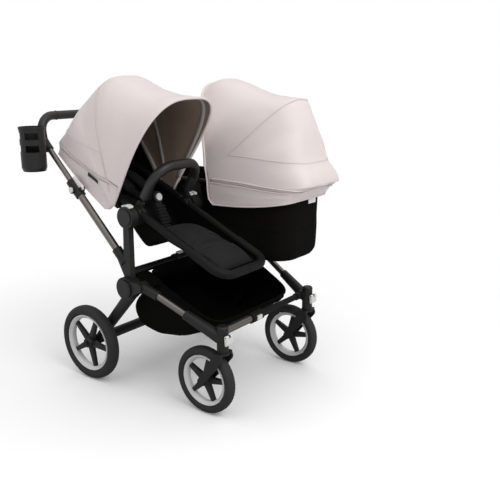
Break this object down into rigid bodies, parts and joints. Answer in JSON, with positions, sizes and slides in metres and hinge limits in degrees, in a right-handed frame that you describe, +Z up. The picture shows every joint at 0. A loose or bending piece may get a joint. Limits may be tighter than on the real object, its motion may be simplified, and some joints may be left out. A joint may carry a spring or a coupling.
{
  "type": "twin pram",
  "caption": "Side-by-side twin pram: folding chassis on castoring front and fixed rear wheels, tilting seat with canopy, hooded carrycot, sliding handle with cup holder and a shared basket.",
  "frame": {"origin": "floor point midway between the front and rear axles and between the two sides", "axes": "+Z up, -Y the way the pram is pushed, +X to the pram's left (carrycot side)"},
  "size_m": [0.828, 1.008, 1.1942],
  "materials": {
    "black_casting": "fine matt texture",
    "black_plastic": "matt grained",
    "anodised_tube": "warm grey satin anodised",
    "black_cloth": "plain weave",
    "charcoal_cloth": "soft weave",
    "blush_cloth": "pale satin weave",
    "white_cloth": "soft cotton",
    "white_plastic": "satin, finely speckled",
    "grip_leather": "stitched leatherette",
    "webbing": "ribbed webbing",
    "cream_rim": "satin",
    "tyre_rubber": "fine tread"
  },
  "bodies": {
    "chassis": {"uprights": "black_casting", "hub_pins": "black_plastic", "handle_tubes": "anodised_tube", "clamps": "black_plastic", "rear_crossbar": "black_casting", "centre_post": "black_casting", "basket": "black_cloth", "cot_tub": "black_cloth", "cot_rim": "black_plastic", "mattress": "white_cloth", "hood_front": "blush_cloth", "hood_visor": "blush_cloth"},
    "hood_fold": {"hood_bow": "blush_cloth"},
    "handle": {"handle_stems": "anodised_tube", "handle_grip": "grip_leather", "cup_bracket": "black_plastic", "cup_holder": "black_plastic"},
    "front_frame": {"front_arms": "black_casting", "front_tubes": "anodised_tube", "front_knuckles": "black_casting", "front_crossbar": "black_casting"},
    "rear_frame": {"rear_legs": "black_casting", "rear_axle": "black_casting"},
    "seat": {"seat_rails": "black_casting", "seat_bows": "grip_leather", "seat_pivots": "black_plastic", "seat_shell": "black_cloth", "seat_pad": "charcoal_cloth", "back_pad": "charcoal_cloth", "harness": "webbing", "buckle": "black_plastic", "canopy_clips": "black_plastic", "canopy_shell": "blush_cloth", "canopy_visor": "blush_cloth"},
    "canopy_fold": {"canopy_bow": "blush_cloth"},
    "bumper": {"bumper_bar": "grip_leather"},
    "buckle_press": {"buckle_button": "white_plastic"},
    "brake": {"brake_pedal": "black_plastic"},
    "front_width_press": {"width_button_front": "white_plastic"},
    "rear_width_press": {"width_button_rear": "white_plastic"},
    "caster_right": {"fork_right": "black_casting"},
    "front_roll_right": {"front_wheel_right": "cream_rim", "front_tyre_right": "tyre_rubber"},
    "rear_roll_right": {"rear_wheel_right": "cream_rim", "rear_tyre_right": "tyre_rubber"},
    "lock_right": {"swivel_lock_right": "white_plastic"},
    "lever_right": {"clamp_lever_right": "white_plastic"},
    "fold_press_right": {"fold_button_right": "white_plastic"},
    "release_press_right": {"release_right": "white_plastic"},
    "caster_left": {"fork_left": "black_casting"},
    "front_roll_left": {"front_wheel_left": "cream_rim", "front_tyre_left": "tyre_rubber"},
    "rear_roll_left": {"rear_wheel_left": "cream_rim", "rear_tyre_left": "tyre_rubber"},
    "lock_left": {"swivel_lock_left": "white_plastic"},
    "lever_left": {"clamp_lever_left": "white_plastic"},
    "fold_press_left": {"fold_button_left": "white_plastic"},
    "release_press_left": {"release_left": "white_plastic"},
    "centre_press_seat": {"centre_release_seat": "white_plastic"},
    "centre_press_cot": {"centre_release_cot": "white_plastic"}
  },
  "joints": [
    {"name": "handle_slide", "type": "slide", "parent": "chassis", "child": "handle", "axis": [0, 0.7193, 0.6947], "range_m": [-0.06, 0.02]},
    {"name": "front_fold", "type": "hinge", "parent": "chassis", "child": "front_frame", "pos_m": [0, 0.032, 0.433], "axis": [1, 0, 0], "range_deg": [0, 40]},
    {"name": "rear_fold", "type": "hinge", "parent": "chassis", "child": "rear_frame", "pos_m": [0, 0.032, 0.433], "axis": [1, 0, 0], "range_deg": [-25, 0]},
    {"name": "caster_swivel_right", "type": "hinge", "parent": "front_frame", "child": "caster_right", "pos_m": [-0.276, -0.36, 0.302], "axis": [0, 0, 1], "continuous": true},
    {"name": "front_wheel_spin_right", "type": "hinge", "parent": "caster_right", "child": "front_roll_right", "pos_m": [-0.276, -0.28, 0.127], "axis": [1, 0, 0], "continuous": true},
    {"name": "rear_wheel_spin_right", "type": "hinge", "parent": "rear_frame", "child": "rear_roll_right", "pos_m": [-0.338, 0.28, 0.1525], "axis": [1, 0, 0], "continuous": true},
    {"name": "swivel_lock_tip_right", "type": "hinge", "parent": "front_frame", "child": "lock_right", "pos_m": [-0.276, -0.388, 0.32], "axis": [1, 0, 0], "range_deg": [-30, 0]},
    {"name": "clamp_lever_flip_right", "type": "hinge", "parent": "chassis", "child": "lever_right", "pos_m": [-0.338, 0.27218, 0.77809], "axis": [1, 0, 0], "range_deg": [0, 70]},
    {"name": "fold_button_push_right", "type": "slide", "parent": "chassis", "child": "fold_press_right", "axis": [1, 0, 0], "range_m": [0, 0.004], "stiffness_N_per_m": 400, "springref_m": -0.002},
    {"name": "release_push_right", "type": "slide", "parent": "chassis", "child": "release_press_right", "axis": [0, 0, -1], "range_m": [0, 0.004], "stiffness_N_per_m": 400, "springref_m": -0.002},
    {"name": "caster_swivel_left", "type": "hinge", "parent": "front_frame", "child": "caster_left", "pos_m": [0.276, -0.36, 0.302], "axis": [0, 0, 1], "continuous": true},
    {"name": "front_wheel_spin_left", "type": "hinge", "parent": "caster_left", "child": "front_roll_left", "pos_m": [0.276, -0.28, 0.127], "axis": [1, 0, 0], "continuous": true},
    {"name": "rear_wheel_spin_left", "type": "hinge", "parent": "rear_frame", "child": "rear_roll_left", "pos_m": [0.338, 0.28, 0.1525], "axis": [1, 0, 0], "continuous": true},
    {"name": "swivel_lock_tip_left", "type": "hinge", "parent": "front_frame", "child": "lock_left", "pos_m": [0.276, -0.388, 0.32], "axis": [1, 0, 0], "range_deg": [-30, 0]},
    {"name": "clamp_lever_flip_left", "type": "hinge", "parent": "chassis", "child": "lever_left", "pos_m": [0.338, 0.27218, 0.77809], "axis": [1, 0, 0], "range_deg": [0, 70]},
    {"name": "fold_button_push_left", "type": "slide", "parent": "chassis", "child": "fold_press_left", "axis": [-1, 0, 0], "range_m": [0, 0.004], "stiffness_N_per_m": 400, "springref_m": -0.002},
    {"name": "release_push_left", "type": "slide", "parent": "chassis", "child": "release_press_left", "axis": [0, 0, -1], "range_m": [0, 0.004], "stiffness_N_per_m": 400, "springref_m": -0.002},
    {"name": "centre_release_push_seat", "type": "slide", "parent": "chassis", "child": "centre_press_seat", "axis": [0, 0, -1], "range_m": [0, 0.004], "stiffness_N_per_m": 400, "springref_m": -0.002},
    {"name": "centre_release_push_cot", "type": "slide", "parent": "chassis", "child": "centre_press_cot", "axis": [0, 0, -1], "range_m": [0, 0.004], "stiffness_N_per_m": 400, "springref_m": -0.002},
    {"name": "rear_width_push", "type": "slide", "parent": "chassis", "child": "rear_width_press", "axis": [0, 0, -1], "range_m": [0, 0.004], "stiffness_N_per_m": 400, "springref_m": -0.002},
    {"name": "front_width_push", "type": "slide", "parent": "front_frame", "child": "front_width_press", "axis": [0, 1, 0], "range_m": [0, 0.004], "stiffness_N_per_m": 400, "springref_m": -0.002},
    {"name": "brake_tip", "type": "hinge", "parent": "rear_frame", "child": "brake", "pos_m": [0, 0.262, 0.1615], "axis": [1, 0, 0], "range_deg": [-18, 0]},
    {"name": "seat_tilt", "type": "hinge", "parent": "chassis", "child": "seat", "pos_m": [-0.17, 0.026, 0.7], "axis": [1, 0, 0], "range_deg": [-12, 10]},
    {"name": "bumper_swing", "type": "hinge", "parent": "seat", "child": "bumper", "pos_m": [-0.17, 0.00566, 0.74568], "axis": [1, 0, 0], "range_deg": [0, 50]},
    {"name": "canopy_fold_back", "type": "hinge", "parent": "seat", "child": "canopy_fold", "pos_m": [-0.17, 0.12518, 0.7354], "axis": [1, 0, 0], "range_deg": [-45, 0], "deforming": ["canopy_visor"]},
    {"name": "buckle_push", "type": "slide", "parent": "seat", "child": "buckle_press", "axis": [0, 0.9703, -0.2419], "range_m": [0, 0.003], "stiffness_N_per_m": 400, "springref_m": -0.002},
    {"name": "hood_fold_forward", "type": "hinge", "parent": "chassis", "child": "hood_fold", "pos_m": [0.17, -0.065, 0.805], "axis": [1, 0, 0], "range_deg": [0, 50], "deforming": ["hood_visor"]}
  ],
  "couplings": [
    {"joint": "rear_fold", "follows": "front_fold", "ratio": -0.625}
  ]
}
